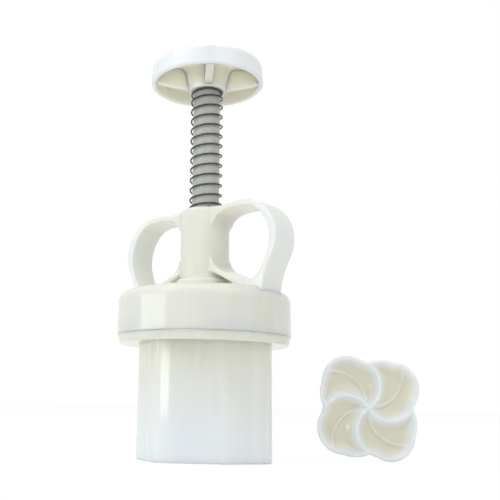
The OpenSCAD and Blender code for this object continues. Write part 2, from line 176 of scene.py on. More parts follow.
class PressSpringSizes(bpy.types.PropertyGroup):
    coil_r: length("Coil radius", "From the axis to the middle of the wire", 6.17)
    wire_d: length("Wire", "Diameter of the wire", 0.7)
    pitch: length("Pitch", "Rise of an open turn", 4.1)
    end_pitch: length("End pitch", "Rise of the turn next to each end", 2.94)
    flat: length("Flat turn", "Rise of the half turn at each end", 0.12)
    play: length("Play", "Room between the wire and its seats", 0.02)
    open_turns: FloatProperty(name="Open turns", description="Number of open turns", default=10.5)
    steps: IntProperty(name="Steps", description="Rings of the wire in a half turn", default=18)


class PressStampSizes(bpy.types.PropertyGroup):
    right: length("Place to the right", "From the press's axis to the stamp's middle", 64.6)
    behind: length("Place behind", "How far behind that axis the stamp stands", 11.0)
    thickness: length("Thickness", "Thickness at the rim", 6.0)
    draft: length("Draft", "How much the outline draws in towards the back", 1.0)
    dish: length("Dish", "Depth of the petals below the rim", 2.6)
    rim: length("Rim", "Width of the flat rim", 1.15)
    ridge_w: length("Ridge", "Width of the ridges' crest", 0.8)
    ridge_r: length("Ridge curve", "Radius of a ridge's curve", 10.1)
    vein_r: length("Vein curve", "Radius of a vein's curve", 13.2)
    vein_h: length("Vein height", "Height of a vein over the dish", 0.9)
    vein_w: length("Vein width", "Half the width of a vein", 0.6)
    edge: length("Edge", "Rounding of the rim's outer edge", 0.7)
    slope: length("Slope", "Distance over which a petal reaches its depth", 5.2)
    spigot_r: length("Spigot", "Radius of the spigot at the back", 6.15)
    spigot_l: length("Spigot length", "Length of the spigot", 2.8)
    spigot_wall: length("Spigot wall", "Wall of the spigot", 1.8)


class PressColours(bpy.types.PropertyGroup):
    ivory: colour("Ivory", "Moulded plastic", "#EAEAE0")
    ivory_deep: colour("Deep ivory", "Thicker, warmer parts of the moulding", "#DCD7BF")
    # painted light: the bluish white that the better lit parts of the mouldings are painted
    painted_light_pale: colour("Pale", "Thin walls, where the plastic looks bluish white", "#EBEFF0")
    # painted light: the knob is painted this brighter tone, as if light came through its thin
    # ceiling
    lit: colour("Lit through", "Thin ceiling that light comes through", "#FAF7E8")
    # painted shade: the darker, warmer tone of undersides and hollows, which the clouds spread
    inside: colour("Inside", "Undersides and hollows", "#CDC7AC")
    # painted shade: the petals' dishes are painted this darker, warmer tone, more the deeper they
    # sink
    dish: colour("Dish", "Bottom of the stamp's petals", "#DFDAC4")
    # a grey-white rod, painted darker than the ivory as shade from the spring and the knob around it
    rod: colour("Rod", "Plunger rod", "#BBBCB5")
    rod_deep: colour("Deep rod", "Streaks in the rod", "#ADADA1")
    wire: colour("Spring steel", "Oil tempered wire", "#54575C")
    steel: colour("Screw steel", "Zinc plated screws", "#B9BCC0")
    floor: colour("Floor", "Floor and backdrop", "#F4F4F4")
    room_left: colour("Room, left", "Light of the room from the window's side", "#F1F3F4")
    room_right: colour("Room, right", "Light of the room from the other side", "#E4E4E0")


GROUPS = {
    "press_barrel": PressBarrelSizes,
    "press_petals": PressPetalSizes,
    "press_cover": PressCoverSizes,
    "press_plunger": PressPlungerSizes,
    "press_knob": PressKnobSizes,
    "press_spring": PressSpringSizes,
    "press_stamp": PressStampSizes,
    "press_colours": PressColours,
}

# -------------------- materials

# sizes of the clouds and streaks in the moulded plastic
CLOUDS, STREAKS = 22 * MM, 3.5 * MM
# the orange peel and the drawn steel's grain are coarser than the real ones, so that they show
PEEL, STAMP_PEEL, GRAIN = 1.6 * MM, 1.1 * MM, 0.5 * MM
# sockets of a colour mix
AMOUNT, FIRST, SECOND, MIXED = 0, 6, 7, 2


def add_node(tree, kind, inputs=None, **settings):
    """Adds a node with its settings, input values and links."""
    node = tree.nodes.new(kind)
    for key, value in settings.items():
        setattr(node, key, value)
    for key, value in (inputs or {}).items():
        if isinstance(value, bpy.types.NodeSocket):
            tree.links.new(value, node.inputs[key])
        else:
            node.inputs[key].default_value = value
    return node


def new_material(name):
    """An empty material, its tree, and the place on the piece."""
    material = bpy.data.materials.new(name)
    material.use_nodes = True
    tree = material.node_tree
    tree.nodes.clear()
    return material, tree, add_node(tree, "ShaderNodeTexCoord").outputs["Object"]


def looking(tree):
    """1 for rays that look at the background: straight, by a gloss or through glass."""
    path = add_node(tree, "ShaderNodeLightPath")
    seen = path.outputs["Is Camera Ray"]
    for kind in ("Is Glossy Ray", "Is Transmission Ray"):
        both = add_node(
            tree, "ShaderNodeMath", {0: seen, 1: path.outputs[kind]}, operation="MAXIMUM"
        )
        seen = both.outputs["Value"]
    return seen


def finish_material(tree, inputs):
    """Ends a material with a Principled shader of the given inputs."""
    shader = add_node(tree, "ShaderNodeBsdfPrincipled", inputs)
    add_node(tree, "ShaderNodeOutputMaterial", {"Surface": shader.outputs["BSDF"]})


def finish_plastic(tree, place, tone, roughness, milky, depth, peel_size, peel_height, strength):
    """Milky plastic with a slight orange peel, into which light goes to a depth."""
    peel = add_node(tree, "ShaderNodeTexNoise", {"Vector": place, "Scale": 1 / peel_size})
    bump = add_node(
        tree,
        "ShaderNodeBump",
        {"Height": peel.outputs["Fac"], "Strength": strength, "Distance": peel_height},
    )
    finish_material(
        tree,
        {
            "Base Color": tone,
            "Roughness": roughness,
            "IOR": 1.5,
            "Normal": bump.outputs["Normal"],
            "Subsurface Weight": milky,
            "Subsurface Radius": (1.0, 0.86, 0.6),
            "Subsurface Scale": depth,
        },
    )


def moulded_ivory(name, light, deep, roughness=0.08, milky=0.7, painted_light_pale=None, along="Z", span=(0, 1)):
    """Glossy ivory polypropylene, injection moulded in a polished mould.

    The eye sees a clean gloss with a very slight orange peel, soft clouds and streaks where
    the melt cooled unevenly, and light that goes a little way in. Where a bluish white is given,
    the tone goes over to it between the two heights of span, or between its two distances from
    the axis: painted light on the better lit parts, with painted shade where the clouded tone stays.
    """
    material, tree, place = new_material(name)
    clouds = add_node(tree, "ShaderNodeTexNoise", {"Vector": place, "Scale": 1 / CLOUDS})
    # the streaks run with the melt, along the axis
    upright = add_node(tree, "ShaderNodeMapping", {"Vector": place, "Scale": (1.0, 1.0, 0.12)})
    flow = add_node(
        tree,
        "ShaderNodeTexNoise",
        {"Vector": upright.outputs["Vector"], "Scale": 1 / STREAKS, "Detail": 3.0},
    )
    cloudy = add_node(
        tree,
        "ShaderNodeMapRange",
        {"Value": clouds.outputs["Fac"], "From Min": 0.3, "From Max": 0.7},
    )
    streaky = add_node(
        tree,
        "ShaderNodeMapRange",
        {"Value": flow.outputs["Fac"], "From Min": 0.35, "From Max": 0.75, "To Max": 0.4},
    )
    amount = add_node(
        tree,
        "ShaderNodeMath",
        {0: cloudy.outputs["Result"], 1: streaky.outputs["Result"], 2: 0.1},
        operation="MULTIPLY_ADD",
    )
    tone = add_node(
        tree,
        "ShaderNodeMix",
        {AMOUNT: amount.outputs["Value"], FIRST: light, SECOND: deep},
        data_type="RGBA",
    )
    # painted light and shade: the tone goes over to the bluish white along the height or away from
    # the axis
    if painted_light_pale:
        mask = (0, 0, 1) if along == "Z" else (1, 1, 0)
        part = add_node(tree, "ShaderNodeVectorMath", {0: place, 1: mask}, operation="MULTIPLY")
        far = add_node(
            tree, "ShaderNodeVectorMath", {0: part.outputs["Vector"]}, operation="LENGTH"
        )
        share = add_node(
            tree,
            "ShaderNodeMapRange",
            {"Value": far.outputs["Value"], "From Min": span[0], "From Max": span[1]},
            interpolation_type="SMOOTHSTEP",
        )
        tone = add_node(
            tree,
            "ShaderNodeMix",
            {AMOUNT: share.outputs["Result"], FIRST: tone.outputs[MIXED], SECOND: painted_light_pale},
            data_type="RGBA",
        )
    rough = add_node(
        tree,
        "ShaderNodeMapRange",
        {
            "Value": flow.outputs["Fac"],
            "From Min": 0.3,
            "From Max": 0.8,
            "To Min": roughness - 0.03,
            "To Max": roughness + 0.03,
        },
    )
    tone, rough = tone.outputs[MIXED], rough.outputs["Result"]
    finish_plastic(tree, place, tone, rough, milky, 4 * MM, PEEL, 0.06 * MM, 0.12)
    return material


def stamp_ivory_painted_shade(name, light, deep):
    """The same moulded ivory on the stamp, with painted shade: the deeper a petal's dish sinks below
    the rim, the darker and warmer it is painted.
    """
    material, tree, place = new_material(name)
    # painted shade, by how deep the face lies in a dish
    sunk = add_node(tree, "ShaderNodeAttribute", attribute_name="sunk")
    amount = add_node(
        tree,
        "ShaderNodeMapRange",
        {"Value": sunk.outputs["Fac"], "From Min": 0.1, "To Max": 0.9},
        interpolation_type="SMOOTHSTEP",
    )
    tone = add_node(
        tree,
        "ShaderNodeMix",
        {AMOUNT: amount.outputs["Result"], FIRST: light, SECOND: deep},
        data_type="RGBA",
    )
    finish_plastic(
        tree, place, tone.outputs[MIXED], 0.12, 0.5, 3 * MM, STAMP_PEEL, 0.05 * MM, 0.1
    )
    return material


def steel_wire(name, tone, roughness):
    """Drawn steel: a grain, coarser than the real one, breaks up its narrow highlight."""
    material, tree, place = new_material(name)
    grain = add_node(
        tree, "ShaderNodeTexNoise", {"Vector": place, "Scale": 1 / GRAIN, "Detail": 4.0}
    )
    rough = add_node(
        tree,
        "ShaderNodeMapRange",
        {
            "Value": grain.outputs["Fac"],
            "From Min": 0.3,
            "From Max": 0.7,
            "To Min": roughness - 0.06,
            "To Max": roughness + 0.1,
        },
    )
    dark = tuple(c * 0.7 for c in tone[:3]) + (1.0,)
    shade = add_node(
        tree,
        "ShaderNodeMix",
        {AMOUNT: grain.outputs["Fac"], FIRST: tone, SECOND: dark},
        data_type="RGBA",
    )
    finish_material(
        tree,
        {
            "Base Color": shade.outputs[MIXED],
            "Metallic": 1.0,
            "Roughness": rough.outputs["Result"],
        },
    )
    return material


# -------------------- mesh tools

FACET = 0.35 * MM  # width of one facet of a rounded edge


def near(a, b):
    """Whether two lengths are the same."""
    return abs(a - b) < 2e-6


def settle(bm, sharp=32):
    """Merges doubles, turns faces outwards and marks the edges that stay sharp."""
    bmesh.ops.remove_doubles(bm, verts=bm.verts, dist=1e-6)
    bmesh.ops.recalc_face_normals(bm, faces=bm.faces)
    for face in bm.faces:
        face.smooth = True
    for edge in bm.edges:
        edge.smooth = not (edge.is_manifold and edge.calc_face_angle() > math.radians(sharp))


def as_object(name, bm, sharp=32):
    """A new object at the origin from a bmesh in the row frame."""
    settle(bm, sharp)
    mesh = bpy.data.meshes.new(name)
    bm.to_mesh(mesh)
    bm.free()
    thing = bpy.data.objects.new(name, mesh)
    bpy.context.scene.collection.objects.link(thing)
    return thing


def baked(thing, sharp=32):
    """Applies the object's modifiers to its mesh."""
    depsgraph = bpy.context.evaluated_depsgraph_get()
    mesh = bpy.data.meshes.new_from_object(thing.evaluated_get(depsgraph))
    thing.modifiers.clear()
    thing.data = mesh
    bm = bmesh.new()
    bm.from_mesh(mesh)
    settle(bm, sharp)
    bm.to_mesh(mesh)
    bm.free()


def combined(thing, other, operation):
    """Adds other to thing, or cuts it out of it."""
    step = thing.modifiers.new(operation.lower(), "BOOLEAN")
    step.operation = operation
    step.solver = "EXACT"
    step.object = other
    baked(thing)
    bpy.data.objects.remove(other)


def softened(thing, width):
    """Rounds the sharp edges of a finished solid."""
    step = thing.modifiers.new("edges", "BEVEL")
    step.width = width
    step.segments = 3
    step.limit_method = "ANGLE"
    step.angle_limit = math.radians(60)
    step.use_clamp_overlap = True
    step.miter_outer = "MITER_ARC"
    baked(thing)


def even_shading(thing):
    """Weighs normals by face area, so that flat walls stay flat beside their rounded edges."""
    step = thing.modifiers.new("even shading", "WEIGHTED_NORMAL")
    step.weight = 100
    step.keep_sharp = True
    return thing


def placed(thing, body, material, *nodes, slot="ivory_plastic"):
    """Gives a finished piece its material, ties it to its body and hides the CAD nodes it stands in
    for.
    """
    thing.data.materials.clear()
    thing.data.materials.append(material)
    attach(thing, body)
    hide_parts(*nodes)


def rounded(bm, edges, width, segments=3):
    """Rounds edges of a bmesh."""
    bmesh.ops.bevel(
        bm,
        geom=edges,
        offset=width,
        segments=segments,
        profile=0.5,
        affect="EDGES",
        material=-1,
    )


def lathe(corners, steps=160):
    """Solid of revolution. A corner is (radius, height) or (radius, height, edge rounding)."""
    bm = bmesh.new()
    ring = [bm.verts.new((c[0], 0.0, c[1])) for c in corners]
    edges = [bm.edges.new(pair) for pair in zip(ring, ring[1:] + ring[:1])]
    bmesh.ops.spin(
        bm,
        geom=ring + edges,
        cent=(0, 0, 0),
        axis=(0, 0, 1),
        angle=2 * math.pi,
        steps=steps,
        use_merge=True,
    )
    bmesh.ops.remove_doubles(bm, verts=bm.verts, dist=1e-7)
    bmesh.ops.delete(bm, geom=[e for e in bm.edges if not e.link_faces], context="EDGES")
    bmesh.ops.recalc_face_normals(bm, faces=bm.faces)
    for c in sorted((c for c in corners if len(c) > 2), key=lambda c: -c[2]):
        on_corner = [
            e
            for e in bm.edges
            if all(near(math.hypot(v.co.x, v.co.y), c[0]) and near(v.co.z, c[1]) for v in e.verts)
        ]
        rounded(bm, on_corner, c[2], max(3, round(c[2] / FACET)))
    return bm


def ring_part(inner, outer, z, h, start, arc, steps=16):
    """Part of a ring of rectangular section."""
    bm = bmesh.new()
    turn = Matrix.Rotation(start, 3, "Z")
    section = [
        bm.verts.new(turn @ Vector((r, 0, at)))
        for r, at in ((inner, z), (outer, z), (outer, z + h), (inner, z + h))
    ]
    first = bm.faces.new(section)
    bmesh.ops.spin(bm, geom=[first], cent=(0, 0, 0), axis=(0, 0, 1), angle=arc, steps=steps)
    return bm


def joined(name, meshes, sharp=32):
    """One object from several bmeshes."""
    whole = bmesh.new()
    for bm in meshes:
        mesh = bpy.data.meshes.new("part")
        bm.to_mesh(mesh)
        bm.free()
        whole.from_mesh(mesh)
        bpy.data.meshes.remove(mesh)
    return as_object(name, whole, sharp)


def prism(points, low, high):
    """Upright prism over an outline given as (x, y) points."""
    bm = bmesh.new()
    base = bm.faces.new([bm.verts.new((x, y, low)) for x, y in points])
    grown = bmesh.ops.extrude_face_region(bm, geom=[base])
    top = [v for v in grown["geom"] if isinstance(v, bmesh.types.BMVert)]
    bmesh.ops.translate(bm, verts=top, vec=(0, 0, high - low))
    return bm


# -------------------- shared outlines

# where a petal's two arcs lie, from the middle of its side
LARGE_LEAD, SMALL_LEAD = math.radians(38), math.radians(44.3)
CAVITY_TURN = math.radians(270 + 14)
# the two creases of a corner: share of the way across it, and how far they stand out
CREASES = ((0.58, 0.7 * MM), (0.86, 0.5 * MM))
# bayonet: sweep of lugs and ledges, where a stop starts after its ledge, and its sweep
BAYONET_ARC, STOP_AT, STOP_ARC = math.radians(34), math.radians(34.6), 0.068


def petal_circles(context, sense, turn, grow=0.0):
    """Centre and radius of the eight circles whose union is the pinwheel."""
    p = context.scene.press_petals
    circles = []
    for s in range(SIDES):
        for lead, at, r in (
            (LARGE_LEAD, p.large_at, p.large_r),
            (SMALL_LEAD, p.small_at, p.small_r),
        ):
            a = turn + s * math.pi / 2 + sense * lead
            circles.append((Vector((at * math.cos(a), at * math.sin(a))), r + grow))
    return circles


def reach(circles, angle):
    """Distance from the axis to the pinwheel's outline in one direction."""
    way = Vector((math.cos(angle), math.sin(angle)))
    far = 0.0
    for centre, r in circles:
        along = centre.dot(way)
        room = r * r - centre.length_squared + along * along
        if room >= 0:
            far = max(far, along + math.sqrt(room))
    return far


def pinwheel_prism(circles, low, high, steps=480):
    """Pinwheel solid: a round disc whose rim is drawn out to the petals."""
    bm = bmesh.new()
    made = bmesh.ops.create_circle(bm, cap_ends=True, segments=steps, radius=1.0)
    for v in made["verts"]:
        a = math.atan2(v.co.y, v.co.x)
        v.co = Vector((math.cos(a), math.sin(a), 0)) * reach(circles, a) + Vector((0, 0, low))
    grown = bmesh.ops.extrude_face_region(bm, geom=bm.faces[:])
    top = [v for v in grown["geom"] if isinstance(v, bmesh.types.BMVert)]
    bmesh.ops.translate(bm, verts=top, vec=(0, 0, high - low))
    return bm


def bulged(a, b, height, steps=8):
    """Points along the arc from a to b that bulges to the right of the way."""
    way = (b - a).normalized()
    right = Vector((way.y, -way.x))
    half = (b - a).length / 2
    r = (half * half + height * height) / (2 * height)
    sweep = math.asin(half / r)
    centre = (a + b) / 2 + right * (height - r)
    turns = [-sweep + 2 * sweep * i / steps for i in range(steps)]
    return [centre + way * r * math.sin(t) + right * r * math.cos(t) for t in turns]


def barrel_outline(s):
    """The barrel's outline, side by side, and the places of its creases."""
    run = math.sqrt(s.edge_r**2 - (s.edge_r - s.edge_drop) ** 2)
    sweep = math.asin(run / s.edge_r)
    leading = Vector((-s.edge_x, s.edge_drop - s.half))
    flat_stop = Vector((s.flat_end, -s.half))
    quarter = Matrix.Rotation(math.pi / 2, 2)
    chord = quarter @ leading - flat_stop
    right = Vector((chord.y, -chord.x)).normalized()
    crease_1, crease_2 = (flat_stop + chord * at + right * out for at, out in CREASES)
    side = []
    steps = 10
    for i in range(steps):
        t = -sweep * (1 - i / steps)
        x = run - s.edge_x + s.edge_r * math.sin(t)
        side.append(Vector((x, s.edge_r * (1 - math.cos(t)) - s.half)))
    side.append(Vector((run - s.edge_x, -s.half)))
    side += bulged(flat_stop, crease_1, s.scallop)
    side += bulged(crease_1, crease_2, s.scallop)
    side += bulged(crease_2, quarter @ leading, s.scallop / 2, 4)
    outline, creases = [], []
    for k in range(SIDES):
        turn = Matrix.Rotation(k * math.pi / 2, 2)
        outline += [turn @ p for p in side]
        creases += [turn @ p for p in (leading, crease_1, crease_2)]
    return outline, creases


# -------------------- pieces


class PRESS_OT_barrel(bpy.types.Operator):
    """Barrel with creased sides, a pinwheel cavity, a flange and a neck with lugs"""

    bl_idname = "press.barrel"
    bl_label = "Barrel"

    def execute(self, context):
        s = context.scene.press_barrel
        tones = context.scene.press_colours
        outline, creases = barrel_outline(s)
        bm = prism([(p.x, p.y) for p in outline], 0.0, s.height + MM)
        upright = [
            e
            for e in bm.edges
            if abs(e.verts[0].co.z - e.verts[1].co.z) > MM
            and any((e.verts[0].co.xy - c).length < 1e-5 for c in creases)
        ]
        rounded(bm, upright, s.crease_edge)
        barrel = as_object("barrel_body", bm)
        flange_top = s.height + s.flange_t
        neck = [
            (0, s.height),
            (s.flange_foot_r, s.height),
            (s.flange_r, s.height + s.flange_slope),
            (s.flange_r, flange_top),
            (s.neck_r, flange_top),
            (s.neck_r, s.neck_top),
            (0, s.neck_top),
        ]
        combined(barrel, as_object("neck", lathe(neck)), "UNION")
        lugs = [
            ring_part(s.neck_r - MM, s.lug_r, s.lug_z, s.lug_t, i * math.pi / 2, BAYONET_ARC)
            for i in range(SIDES)
        ]
        combined(barrel, joined("lugs", lugs), "UNION")
        petals = petal_circles(context, -1, CAVITY_TURN, context.scene.press_petals.gap)
        cavity = pinwheel_prism(petals, -MM, s.neck_top + MM)
        combined(barrel, as_object("cavity", cavity), "DIFFERENCE")
        softened(barrel, s.soft_edge)
        # painted light and shade: bluish white towards the mouth, and the warmer clouded tone with
        # the hollows' colour kept near the flange as painted shade under it
        ivory = moulded_ivory(
            "ivory PP, barrel",
            tones.ivory,
            tones.inside,
            painted_light_pale=tones.painted_light_pale,
            span=(s.height, 0.1 * s.height),
        )
        placed(even_shading(barrel), "barrel", ivory, "barrel")
        return {"FINISHED"}


class PRESS_OT_cover(bpy.types.Operator):
    """Round cover with its skirt, rounded top edge and bayonet ledges"""

    bl_idname = "press.cover"
    bl_label = "Cover"

    def execute(self, context):
        s = context.scene.press_cover
        tones = context.scene.press_colours
        inner = s.radius - s.skirt_t
        ceiling = s.top - s.top_t
        shell = [
            (s.bore, ceiling),
            (inner, ceiling, 0.5 * MM),
            (inner, s.foot),
            (s.lip_r, s.foot),
            (s.lip_r, s.foot - s.lip),
            (s.radius, s.foot - s.lip, 0.15 * MM),
            (s.radius, s.top, s.round),
            (s.bore, s.top),
        ]
        parts = [lathe(shell, steps=192)]
        for i in range(SIDES):
            start = i * math.pi / 2
            for at, height, arc in ((0, s.ledge_t, BAYONET_ARC), (STOP_AT, s.stop_h, STOP_ARC)):
                ledge = ring_part(s.ledge_r, inner + MM, s.foot + MM, height, start + at, arc)
                parts.append(ledge)
        cap = joined("cover_cap", parts)
        ivory = moulded_ivory("ivory PP, cover", tones.ivory, tones.ivory_deep)
        placed(even_shading(cap), "cover", ivory, "cover")
        return {"FINISHED"}


# outlines of a finger loop in its own upright plane: (distance from the axis, height) in mm
LOOP_OUTER = (
    (8, 94.4), (10.5, 94.1), (13.5, 93.7), (18, 94.2), (22.5, 94.4), (27, 93.8), (31, 92.1),
    (34.4, 89.1), (37, 85.2), (38.3, 80.6), (37.8, 75.6), (35.6, 70.8), (33.5, 66.4),
    (32.5, 62.6), (32.1, 59),
)
LOOP_FOOT = ((24.5, 59), (23.2, 61.6), (20.5, 62.9), (16, 65), (12, 67.1), (8, 69))
LOOP_HOLE = (
    (6.5, 86), (8.6, 87.2), (10.2, 89.6), (13, 91.2), (17.6, 92.1), (23, 92), (27.3, 91.2),
    (30.6, 89.2), (33, 86.4), (34.8, 82.6), (35.4, 78.6), (34.8, 74.4), (33.2, 70.4),
    (30.8, 66.8), (28.4, 64.8), (26, 64), (22, 65.2), (18, 66.9), (14, 68.6), (11, 70),
    (9.2, 72), (8, 74.5), (6.5, 76),
)
LOOP_TURNS = (math.radians(-45), math.radians(135))
FLOW_ROUNDS, FLOW_FACTOR = 12, 0.5  # smoothing that lets the loops flow out of the tube


def smooth_line(points, steps=6):
    """Points of a smooth open line through the given points."""
    line = []
    last = len(points) - 1
    p = [Vector(q) for q in points]
    for i in range(last):
        p0, p1, p2, p3 = p[max(i - 1, 0)], p[i], p[i + 1], p[min(i + 2, last)]
        for j in range(steps):
            t = j / steps
            line.append(
                (
                    2 * p1
                    + (p2 - p0) * t
                    + (2 * p0 - 5 * p1 + 4 * p2 - p3) * t**2
                    + (3 * p1 - p0 - 3 * p2 + p3) * t**3
                )
                / 2
            )
    return line


def upright_slab(points, width, turn):
    """Slab over an outline of (distance, height) points, in the upright plane of a turn."""
    bm = prism(points, -width / 2, width / 2)
    for angle, axis in ((math.pi / 2, "X"), (turn, "Z")):
        bmesh.ops.rotate(
            bm, verts=bm.verts, cent=(0, 0, 0), matrix=Matrix.Rotation(angle, 3, axis)
        )
    return bm


class PRESS_OT_loops(bpy.types.Operator):
    """Guide tube and both finger loops, grown together as the moulding is"""

    bl_idname = "press.loops"
    bl_label = "Guide tube and finger loops"

    def execute(self, context):
        s = context.scene.press_cover
        tones = context.scene.press_colours
        low = s.top - s.sunk
        bore = s.bore + s.bore_play
        collar_top = s.top + s.collar_h
        tube = [
            (bore, low),
            (s.collar_r, low),
            (s.collar_r, collar_top, 0.8 * MM),
            (s.hub_r, collar_top + 0.2 * MM),
            (s.hub_r, s.hub_top, s.hub_round),
            (bore, s.hub_top),
        ]
        loops = joined("guide_tube_and_loops", [lathe(tube)])
        outer, hole = (
            [(p[0] * MM, p[1] * MM) for p in line]
            for line in (smooth_line(LOOP_OUTER) + list(LOOP_FOOT), smooth_line(LOOP_HOLE))
        )
        for turn in LOOP_TURNS:
            band = as_object("band", upright_slab(outer, s.loop_w, turn))
            combined(band, as_object("hole", upright_slab(hole, s.loop_w * 2, turn)), "DIFFERENCE")
            combined(loops, band, "UNION")
        above = s.hub_top + MM
        rod_hole = lathe([(0, low - MM), (bore, low - MM), (bore, above), (0, above)])
        combined(loops, as_object("rod_hole", rod_hole), "DIFFERENCE")
        grain = loops.modifiers.new("grain", "REMESH")
        grain.mode = "VOXEL"
        grain.voxel_size = s.blend
        grain.use_smooth_shade = True
        flow = loops.modifiers.new("flow", "SMOOTH")
        flow.factor = FLOW_FACTOR
        flow.iterations = FLOW_ROUNDS
        baked(loops, 70)
        # painted light and shade: the loops turn bluish white away from the tube, and keep the
        # warmer clouded tone near it as painted shade
        ivory = moulded_ivory(
            "ivory PP, loops",
            tones.ivory,
            tones.ivory_deep,
            painted_light_pale=tones.painted_light_pale,
            along="R",
            span=(s.hub_r, 1.6 * s.radius),
        )
        placed(loops, "cover", ivory, "finger_loop_left", "finger_loop_right")
        return {"FINISHED"}


class PRESS_OT_plunger(bpy.types.Operator):
    """Rod, piston and the plunger's screws"""

    bl_idname = "press.plunger"
    bl_label = "Rod and piston"

    def execute(self, context):
        s = context.scene.press_plunger
        tones = context.scene.press_colours
        rod = [
            (0, s.rod_foot),
            (s.rod_r, s.rod_foot, 0.4 * MM),
            (s.rod_r, s.rod_top, 0.4 * MM),
            (0, s.rod_top),
        ]
        # painted shade: the rod's grey is darker than the ivory, for the shade of the spring and the
        # knob around it
        painted_shade_grey = moulded_ivory("grey white POM, rod", tones.rod, tones.rod_deep, 0.3, 0.1)
        placed(as_object("rod", lathe(rod, steps=96)), "plunger", painted_shade_grey, "plunger_rod")

        petals = petal_circles(context, -1, CAVITY_TURN)
        plate = pinwheel_prism(petals, s.piston_z, s.piston_z + s.piston_t)
        piston = as_object("piston_plate", plate)
        foot = s.piston_z + MM
        boss = [(0, foot), (s.boss_r, foot), (s.boss_r, s.boss_top), (0, s.boss_top)]
        combined(piston, as_object("boss", lathe(boss)), "UNION")
        below = s.piston_z - MM
        hollow = [
            (0, below),
            (s.socket_r, below),
            (s.socket_r, s.piston_z + s.socket_d),
            (s.recess_r, s.piston_z + s.socket_d),
            (s.recess_r, s.seat),
            (s.screw_r, s.seat),
            (s.screw_r, s.rod_foot),
            (s.rod_r + s.fit, s.rod_foot),
            (s.rod_r + s.fit, s.boss_top + MM),
            (0, s.boss_top + MM),
        ]
        combined(piston, as_object("hollow", lathe(hollow, steps=96)), "DIFFERENCE")
        softened(piston, s.soft_edge)
        # the clouds carry the hollows' painted-shade colour
        ivory = moulded_ivory("ivory PP, piston", tones.ivory, tones.inside)
        placed(even_shading(piston), "plunger", ivory, "piston")
        zinc = steel_wire("zinc plated steel, screws", tones.steel, 0.3)
        for node in ("piston_screw", "knob_screw"):
            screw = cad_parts[node]
            screw.data.materials.clear()
            screw.data.materials.append(zinc)
        return {"FINISHED"}


class PRESS_OT_knob(bpy.types.Operator):
    """Drum knob with its boss, four webs and the plug in its top"""

    bl_idname = "press.knob"
    bl_label = "Knob"

    def execute(self, context):
        s = context.scene.press_knob
        rod = context.scene.press_plunger
        tones = context.scene.press_colours
        inner = s.rim_r - s.wall
        socket = rod.rod_r + rod.fit
        plug_foot, recess_foot = s.top - s.plug_t, s.top - s.recess_d
        shell = [
            (socket, s.foot, 0.3 * MM),
            (s.boss_r, s.foot, 0.5 * MM),
            (s.boss_r + s.flare, s.ceiling, s.fillet),
            (inner - 0.3 * MM, s.ceiling, s.fillet),
            (inner, s.rim, 0.8 * MM),
            (s.rim_r, s.rim, 1.0 * MM),
            (s.top_r, s.top, s.round),
            (s.plug_r, s.top, 0.15 * MM),
            (s.plug_r, plug_foot),
            (rod.recess_r, plug_foot),
            (rod.recess_r, recess_foot),
            (rod.screw_r, recess_foot),
            (rod.screw_r, rod.rod_top),
            (socket, rod.rod_top),
        ]
        # a web runs from inside the boss into the side wall, and up into the ceiling
        web_in, web_out = s.boss_r - 0.6 * MM, inner + 0.3 * MM
        web_foot, web_top = s.foot + 0.8 * MM, s.ceiling + 0.3 * MM
        outline = [
            (web_in, web_foot),
            (s.boss_r, web_foot),
            (web_out, s.rim + 0.9 * MM),
            (web_out, web_top),
            (web_in, web_top),
        ]
        parts = [lathe(shell, steps=192)]
        for k in range(SIDES):
            web = upright_slab(outline, s.web_t, k * math.pi / 2)
            low_edges = [
                e
                for e in web.edges
                if all(v.co.z < s.rim + MM for v in e.verts)
                and (e.verts[0].co - e.verts[1].co).length > 5 * MM
            ]
            rounded(web, low_edges, 0.5 * MM)
            parts.append(web)
        # painted light: the brighter lit-through tone all over the knob lightens its recess, and it
        # turns bluish white towards the outer wall
        ivory = moulded_ivory(
            "ivory PP, knob",
            tones.lit,
            tones.ivory_deep,
            milky=0.75,
            painted_light_pale=tones.painted_light_pale,
            along="R",
            span=(inner - MM, s.top_r),
        )
        placed(even_shading(joined("knob_drum", parts)), "plunger", ivory, "knob")
        plug_r = s.plug_r - rod.fit
        plug = lathe(
            [(0, plug_foot), (plug_r, plug_foot), (plug_r, s.top, 0.15 * MM), (0, s.top)],
            steps=96,
        )
        ivory = moulded_ivory("ivory PP, plug", tones.ivory, tones.ivory_deep)
        placed(as_object("knob_top_plug", plug), "plunger", ivory, "knob_plug")
        return {"FINISHED"}


SPRING_START = math.radians(270 + 180)  # where the wire's upper end lies


